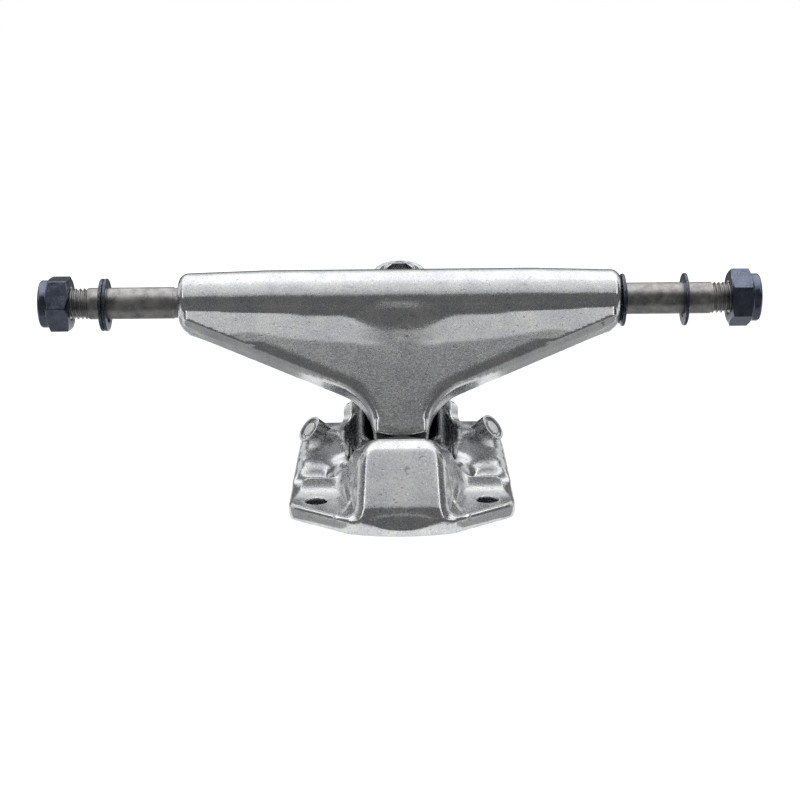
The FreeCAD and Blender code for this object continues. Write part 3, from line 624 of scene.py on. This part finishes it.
make_axle()
make_axle_hardware()
make_kingpin()
make_king_hardware()
bushing("barrel_bushing", "board_side_bushing", 40.5, 13.0, 10.7, 10.7, 0.45)
bushing("cone_bushing", "road_side_bushing", 21.4, 10.9, 11.8, 8.7, 0.2)
cup = lathe("pivot_cup_liner", rounded(CUP_OUTSIDE + CUP_INSIDE, CUP_ROUNDS, 0.3, closed=False), PIVOT, STEM_UP,
            cup_urethane, 128, closed=False)
dress(cup, "pivot_cup")


# The hanger's casting. drop is measured down the stem from the axle, front forward from its middle plane

HANGER_VOXEL = 0.4
BAR_ROUNDS, WEB_ROUNDS = (2.0, 0.9), (2.0, 2.4)
BAR_R, BAR_TAPER = 7.95, 0.6
BAR_TAPER_START, BAR_TAPER_RUN = 33.1, 20.6
RING_BORE_R, RING_SEAT_R = 7.5, 12.5
RING_HALF, RING_SEAT_T = 3.0, 16.0
WEB_TOP, WEB_FOOT = (8.0, 10.5), (23.0, 29.0)
WEB_FRONT = 6.5
LEDGE_SLOPE = math.tan(math.radians(2.7))
LEDGE_X = (0, 7, 11, 25, 37, 46)
LEDGE_FOOT_DROP = (15.5, 15.5, 13.4, 12.3, 10.2, 11.0)
LEDGE_TOP_DROP, LEDGE_LOW_DROP = 1.5, 13.4
LEDGE_FADE = (2.0, 13.0)
WEB_END_X, WEB_END_DROP, WEB_END_SLOPE = 51.5, 7.4, 2.31
LEDGE_END_X = 53.3
STEM_HALF, STEM_THICK, STEM_EDGE = 6.4, 6.45, 1.2
STEM_LOW, STEM_HIGH = 3.9, 8.0
STEM_SIDE_X, STEM_SIDE_SLOPE = 3.0, 0.27


def flattened(side_r, middle_deg, half_deg):
    """Where a flatter arc cuts the round bar, between two angles above the horizontal in front of it."""
    middle, half = math.radians(middle_deg), math.radians(half_deg)
    reach = math.sqrt(side_r**2 - (BAR_R * math.sin(half)) ** 2)
    centre = BAR_R * math.cos(half) - reach
    low, high = middle - half - 0.1, middle + half + 0.1

    def distance(x, y, z):
        taper = BAR_TAPER * np.clip((np.abs(x) - BAR_TAPER_START) / BAR_TAPER_RUN, 0, 1)
        py, pz = y - AXLE[1], z - AXLE[2]
        reached = np.sqrt((py + centre * math.cos(middle)) ** 2 + (pz - centre * math.sin(middle)) ** 2)
        out = reached - side_r + taper
        return np.maximum(-out, np.maximum(
            -(py * math.sin(low) + pz * math.cos(low)), py * math.sin(high) + pz * math.cos(high)))

    return distance


HANGER_HOLES = [
    flattened(20.0, 36.0, 17.0),
    bore(king(RING_DEPTH), KING_UP, RING_BORE_R, -20, 20),
    bore(king(RING_DEPTH), KING_UP, RING_SEAT_R, RING_HALF, RING_SEAT_T),
    bore(king(RING_DEPTH), KING_UP, RING_SEAT_R, -RING_SEAT_T, -RING_HALF),
    bore(AXLE, X_OUT, 4.02, -60, 60),
]


def ledge_field(face, out, drop, front):
    """The shallow ledge under the bar, behind a face and inside the web's slanted ends."""
    ledge = np.maximum(front - face, np.maximum(LEDGE_TOP_DROP - drop, drop - LEDGE_LOW_DROP))
    slanted = out - WEB_END_X + (drop - WEB_END_DROP) * WEB_END_SLOPE
    ledge = np.maximum(ledge, np.maximum(slanted, -front))
    return soft_max(ledge, out - LEDGE_END_X, 1.0)


def foot_field(out, drop, front):
    """The stem's squared foot, higher at its sides to clear the pivot cup's lip as it turns."""
    rise = STEM_LENGTH - drop
    foot = soft_max(out - STEM_HALF, np.abs(front) - STEM_THICK, STEM_EDGE)
    low = STEM_LOW + STEM_SIDE_SLOPE * np.maximum(out - STEM_SIDE_X, 0)
    return np.maximum(foot, np.maximum(low - rise, rise - STEM_HIGH))


def hanger_edit(fields, x, y, z):
    """The casting with round web rims, a ledge that fades at the middle, a full foot and its holes."""
    py, pz = y - AXLE[1], z - AXLE[2]
    drop = -(py * STEM_UP[1] + pz * STEM_UP[2])
    front = pz * STEM_UP[1] - py * STEM_UP[2]
    out = np.abs(x)
    web = smooth(drop, *WEB_TOP) * (1 - smooth(drop, *WEB_FOOT))
    body = fields[0] * (1 - web) + fields[1] * web
    ledge_foot = np.interp(out, LEDGE_X, LEDGE_FOOT_DROP).astype(np.float32)
    deep = smooth(out, *LEDGE_FADE)
    face = WEB_FRONT - np.maximum(ledge_foot - drop, 0) * LEDGE_SLOPE * deep
    field = np.minimum(body, ledge_field(face, out, drop, front))
    middle = smooth(front, 1.0, 3.0) * (1 - smooth(out, 22.0, 28.0))
    middle = middle * smooth(drop, -0.5, 1.0) * (1 - smooth(drop, 12.5, 14.5))
    fill = 0.3 + (0.5 + 3.4 * (1 - smooth(out, 3.0, 15.0))) * smooth(drop, 0.5, 6.0)
    merged = soft_min(np.hypot(py, pz) - BAR_R, front - face, fill)
    field = field * (1 - middle) + merged * middle
    field = np.minimum(field, foot_field(out, drop, front))
    return drilled(field, HANGER_HOLES, x, y, z)


hanger = cast("hanger_casting", "hanger", [BAR_ROUNDS, WEB_ROUNDS], HANGER_VOXEL, hanger_edit, alloy)
dress(hanger, "hanger")


# The baseplate's casting

BASE_VOXEL = 0.36
PLATE_ROUNDS, UPPER_ROUNDS, BOSS_TOP_ROUNDS, SHOULDER_ROUNDS = (2.8, 0.4), (2.2, 0.9), (2.2, 2.2), (6.0, 4.2)
BOLT_X, BOLT_Y, BOLT_HOLE_R = 20.6375, 26.9875, 2.55
BASE_HOLES = [
    bore((x, y, 0), (0, 0, 1), BOLT_HOLE_R, -1, 14) for x in (-BOLT_X, BOLT_X) for y in (-BOLT_Y, BOLT_Y)
] + [
    bore(king(SEAT_DEPTH), KING_UP, 12.6, 0.0, 30.0),
    bore(king(SEAT_DEPTH), KING_UP, HOLE_R, -12.0, 5.0),
    bore(PIVOT, STEM_UP, 7.0, -3.4, 4.0),
    bore((0, PIVOT[1], 0), (0, 0, 1), 2.0, -1, 9),
]
PLATE_BLEND, WING_X = (4.4, 6.8), (11.5, 14.0)
BOSS_TOP_Z, BOSS_TOP_BLEND, BOSS_BACK = 19.9, (15.0, 18.0), (11.0, 13.0)
BOSS_HALF, BOSS_CORNER_CUT, BOSS_CORNER_LOW_Z = 9.7, 1.5, 13.0
BOSS_CORNER_NORMAL = (0.74, 0.67)
SLOPE_FOOT, SLOPE_NORMAL = (-21.5, 4.0), (-0.447, 0.894)
SLOPE_X, SLOPE_BACK_Y = (13.5, 24.8), -16.0
CREST_Z, CREST_Y, CREST_FALL = 14.8, 6.0, 0.36
CREST_SIDE_X, CREST_SIDE_MORE = 13.2, 2.0
TOE_TOP, TOE_NORMAL = (-41.95, 5.9), (-0.9063, 0.4226)
TOE_HALF, TOE_LOW_Z = 10.9, 2.4
# The raised line between the boss's flank and a bolt pad, seen from above
PAD_LINE = (
    (9.4, -32.3), (11.5, -32.2), (13.6, -33.9), (14.7, -35.9),
    (15.9, -39.5), (18.2, -40.1), (21.9, -36.8), (26.5, -31.4),
)
PAD_LINE_T, PAD_LINE_WIDTH, PAD_LINE_LOW_Z = 0.24, 0.42, 3.2


def line_distance(x, y, line):
    """The distance from a broken line, seen from above."""
    nearest = np.full(np.broadcast(x, y).shape, FAR, np.float32)
    for (ax, ay), (bx, by) in zip(line, line[1:]):
        dx, dy = bx - ax, by - ay
        t = np.clip(((x - ax) * dx + (y - ay) * dy) / (dx * dx + dy * dy), 0, 1)
        nearest = np.minimum(nearest, np.hypot(x - ax - t * dx, y - ay - t * dy))
    return nearest


def base_blend(fields, out, y, z):
    """One field of the baseplate's four: crisp on the plate, round on the boss's top, soft on the shoulders."""
    plate, above, boss_top, shoulder = fields
    upper, wing = smooth(z, *PLATE_BLEND), smooth(out, *WING_X)
    boss = smooth(z, *BOSS_TOP_BLEND) * smooth(-y, *BOSS_BACK) * (1 - wing)
    field = plate * (1 - upper) + above * upper
    field = field * (1 - boss) + boss_top * boss
    high = smooth(z, 4.0, 7.5)
    return field * (1 - wing) + (shoulder * high + np.minimum(field, shoulder) * (1 - high)) * wing


def base_edit(fields, x, y, z):
    """The casting with sloping shoulder feet, low crests, a steep toe, lines round the bolt pads, and holes."""
    out = np.abs(x)
    field = base_blend(fields, out, y, z)
    slope = np.maximum(plane(y, z, SLOPE_FOOT, SLOPE_NORMAL), 2.0 - z)
    slope = np.maximum(slope, np.maximum(SLOPE_X[0] - out, soft_max(out - SLOPE_X[1], y - SLOPE_BACK_Y, 2.0)))
    field = soft_min(field, slope, 2.4)
    corner = plane(out, z, (BOSS_HALF, BOSS_TOP_Z), BOSS_CORNER_NORMAL) + BOSS_CORNER_CUT
    field = soft_max(field, np.where((y < -BOSS_BACK[0]) & (z > BOSS_CORNER_LOW_Z), corner, -FAR), 2.0)
    crest = CREST_Z - CREST_FALL * np.maximum(y - CREST_Y, 0)
    side = CREST_SIDE_X + CREST_SIDE_MORE * np.clip((y - 13.0) / 4.0, 0, 1)
    field = soft_max(field, -soft_max(crest - z, side - out, 3.0), 0.8)
    past_toe = np.maximum(-plane(y, z, TOE_TOP, TOE_NORMAL), np.maximum(out - TOE_HALF, TOE_LOW_Z - z))
    field = np.maximum(field, -past_toe)
    near = np.exp(-((line_distance(out, y, PAD_LINE) / PAD_LINE_WIDTH) ** 2))
    field = field - PAD_LINE_T * near * (z > PAD_LINE_LOW_Z)
    return np.maximum(drilled(field, BASE_HOLES, x, y, z), -z)


base_rounds = [PLATE_ROUNDS, UPPER_ROUNDS, BOSS_TOP_ROUNDS, SHOULDER_ROUNDS]
base = cast("baseplate_casting", "baseplate", base_rounds, BASE_VOXEL, base_edit, alloy)
dress(base, "baseplate")

# The round pads of the shoulders, each with a plain ring
PAD_TURN = math.radians(48.0)
PAD_AT = (22.7, 0.2, 14.2)
PAD_FOOT, PAD_R, PAD_TOP, PAD_MIDDLE_TOP = -4.5, 3.6, 1.2, 1.1
PAD_OUTLINE = [
    (PAD_FOOT, 0.0), (PAD_FOOT, PAD_R), (PAD_TOP, PAD_R), (PAD_TOP, 3.0),
    (0.4, 2.85), (0.4, 2.0), (PAD_MIDDLE_TOP, 1.85), (PAD_MIDDLE_TOP, 0.0),
]
PAD_ROUNDS = [0, 0.1, 0.15, 0.12, 0.1, 0.1, 0.12, 0]

for side, word in ((-1, "left"), (1, "right")):
    facing = np.array([side * math.sin(PAD_TURN), -math.sin(PAD_TURN) / 2, math.cos(PAD_TURN)])
    pad_path = rounded(PAD_OUTLINE, PAD_ROUNDS, 0.15, closed=False)
    pad_at = (side * PAD_AT[0], PAD_AT[1], PAD_AT[2])
    pad = lathe(f"pad_{word}", pad_path, pad_at, facing / np.linalg.norm(facing), alloy, 96, closed=False)
    dress(pad, "baseplate")


# Floor, light and camera, in metres

FLOOR_SIDE = 6.0
SHEET_Z, SKIRT_Z, SHADE_Z = 0.0005, 0.0006, 0.0003
DARK, SKIRT_TONE, UNDER_TONE, SHADE_TONE = 0.15, 0.45, 0.40, 0.01


def panel(name, size, location, aim, material):
    """A flat rectangle facing a point."""
    mesh = bpy.data.meshes.new(name)
    w, h = size[0] / 2, size[1] / 2
    mesh.from_pydata([(-w, -h, 0), (w, -h, 0), (w, h, 0), (-w, h, 0)], [], [(0, 1, 2, 3)])
    obj = bpy.data.objects.new(name, mesh)
    bpy.context.scene.collection.objects.link(obj)
    obj.location = location
    direction = Vector(aim) - Vector(location)
    obj.rotation_euler = direction.to_track_quat("-Z", "Y").to_euler()
    mesh.materials.append(material)
    return obj


def card(name, size, location, aim, material):
    """A panel that shows only in reflections."""
    made = panel(name, size, location, aim, material)
    made.visible_camera = made.visible_diffuse = made.visible_shadow = False
    return made


def lamp(name, size, location, aim, power):
    data = bpy.data.lights.new(name, "AREA")
    data.shape = "RECTANGLE"
    data.size, data.size_y = size
    data.energy = power
    obj = bpy.data.objects.new(name, data)
    bpy.context.scene.collection.objects.link(obj)
    obj.location = location
    obj.rotation_euler = (Vector(aim) - Vector(location)).to_track_quat("-Z", "Y").to_euler()


def floor_material():
    """A pale floor that takes shadows and gives its own even light."""
    look = Look("floor")
    diffuse = look.node("ShaderNodeBsdfDiffuse", {"Color": rgb(0.50, 0.50, 0.50)})
    glow = look.node("ShaderNodeEmission", {"Color": rgb(1, 1, 1), "Strength": 0.85})
    return look.instead(look.node("ShaderNodeAddShader", {0: diffuse.outputs[0], 1: glow.outputs[0]}))


def card_material(level):
    look = Look(f"card_{int(level * 100)}")
    return look.instead(look.node("ShaderNodeEmission", {"Color": rgb(level, level, level), "Strength": 1.0}))


def make_world(plain, seen):
    """A white surround, at one strength where it is seen or reflected and another where it lights."""
    world = bpy.data.worlds.new("studio")
    world.use_nodes = True
    bpy.context.scene.world = world
    nodes, links = world.node_tree.nodes, world.node_tree.links
    rays = nodes.new("ShaderNodeLightPath")
    amount = rays.outputs["Is Camera Ray"]
    for kind in ("Is Glossy Ray", "Is Transmission Ray"):
        either = nodes.new("ShaderNodeMath")
        either.operation = "MAXIMUM"
        links.new(amount, either.inputs[0])
        links.new(rays.outputs[kind], either.inputs[1])
        amount = either.outputs[0]
    strength = nodes.new("ShaderNodeMapRange")
    links.new(amount, strength.inputs[0])
    strength.inputs[3].default_value = plain
    strength.inputs[4].default_value = seen
    background = nodes["Background"]
    background.inputs[0].default_value = (1, 1, 1, 1)
    links.new(strength.outputs[0], background.inputs[1])


# Dark cards around the object, and dark sheets on the floor before and behind it
DARK_CARDS = (
    ("card_front", (2.6, 1.62), (0.0, -1.15, 0.735), (0, 0.0, 0.735)),
    ("card_back", (2.4, 0.60), (0.0, 1.25, 0.30), (0, 0, 0.30)),
    ("card_left", (1.40, 1.45), (-1.25, -0.55, 0.70), (0, -0.55, 0.70)),
    ("card_right", (1.55, 1.45), (1.25, -0.475, 0.70), (0, -0.475, 0.70)),
    ("sheet_front", (2.4, 1.0), (0.0, -0.552, SHEET_Z), (0, -0.552, -1)),
    ("sheet_back", (2.4, 1.0), (0.0, 0.70, SHEET_Z), (0, 0.70, -1)),
)
SKIRT_SIZE, SKIRT_X, SKIRT_Y, SKIRT_TURN = (0.026, 0.009), 0.0285, -0.0350, math.radians(42.0)
UNDER_SIZE, UNDER_X, UNDER_Y = (0.11, 0.11), 0.092, -0.002
SHADE_SIZE, SHADE_X, SHADE_Y = (0.007, 0.007), 0.0206, 0.027
LAMPS = (
    ("overhead", (1.4, 1.0), (0.0, 0.26, 0.7), (0, 0.26, 0.03), 3.4),
    ("front_left", (0.22, 0.35), (-0.62, -0.5, 0.62), (0, 0, 0.03), 0.5),
    ("front_right", (0.22, 0.35), (0.62, -0.5, 0.62), (0, 0, 0.03), 0.5),
)


def make_studio():
    panel("floor", (FLOOR_SIDE, FLOOR_SIDE), (0, 0, 0), (0, 0, -1), floor_material())
    make_world(0.35, 1.0)
    dark, skirt_tone, under_tone = card_material(DARK), card_material(SKIRT_TONE), card_material(UNDER_TONE)
    for name, size, location, aim in DARK_CARDS:
        card(name, size, location, aim, dark)
    for side in (-1, 1):
        x, y = side * SKIRT_X, SKIRT_Y
        skirt = card("skirt_sheet", SKIRT_SIZE, (x, y, SKIRT_Z), (x, y, -1), skirt_tone)
        skirt.rotation_euler = (0, 0, side * SKIRT_TURN)
        x, y = side * UNDER_X, UNDER_Y
        card("under_sheet", UNDER_SIZE, (x, y, SHEET_Z), (x, y, -1), under_tone)
    # Painted shade: near-black sheets under the deck bolt holes, standing in for the shadow seen through them
    painted_hole_shade = card_material(SHADE_TONE)
    for x in (-SHADE_X, SHADE_X):
        for y in (-SHADE_Y, SHADE_Y):
            shade = panel("hole_shade", SHADE_SIZE, (x, y, SHADE_Z), (x, y, -1), painted_hole_shade)
            shade.visible_diffuse = shade.visible_shadow = False
    for name, size, location, aim, power in LAMPS:
        lamp(name, size, location, aim, power)


# The camera: its sensor and place in millimetres and metres, its focal length in pixels of the picture's width
SENSOR_W, FOCAL_PX, PICTURE_W = 36, 1743, 800
CAMERA_AT = (-0.0005, -0.4293, 0.1306)
PITCH_DOWN, ROLL, YAW = math.radians(14.18), math.radians(-0.56), math.radians(0.04)


def make_camera():
    flat = math.cos(PITCH_DOWN)
    ahead = Vector((math.sin(YAW) * flat, math.cos(YAW) * flat, -math.sin(PITCH_DOWN)))
    level = Vector((math.cos(YAW), -math.sin(YAW), 0))
    above = level.cross(ahead)
    right = level * math.cos(ROLL) + above * math.sin(ROLL)
    up = above * math.cos(ROLL) - level * math.sin(ROLL)
    data = bpy.data.cameras.new("camera")
    data.lens = SENSOR_W * FOCAL_PX / PICTURE_W
    data.sensor_width = SENSOR_W
    camera = bpy.data.objects.new("camera", data)
    bpy.context.scene.collection.objects.link(camera)
    rows = [(right[k], up[k], -ahead[k], CAMERA_AT[k]) for k in range(3)]
    camera.matrix_world = Matrix(rows + [(0, 0, 0, 1)])
    bpy.context.scene.camera = camera


make_studio()
make_camera()
bpy.context.scene.view_settings.view_transform = "Standard"
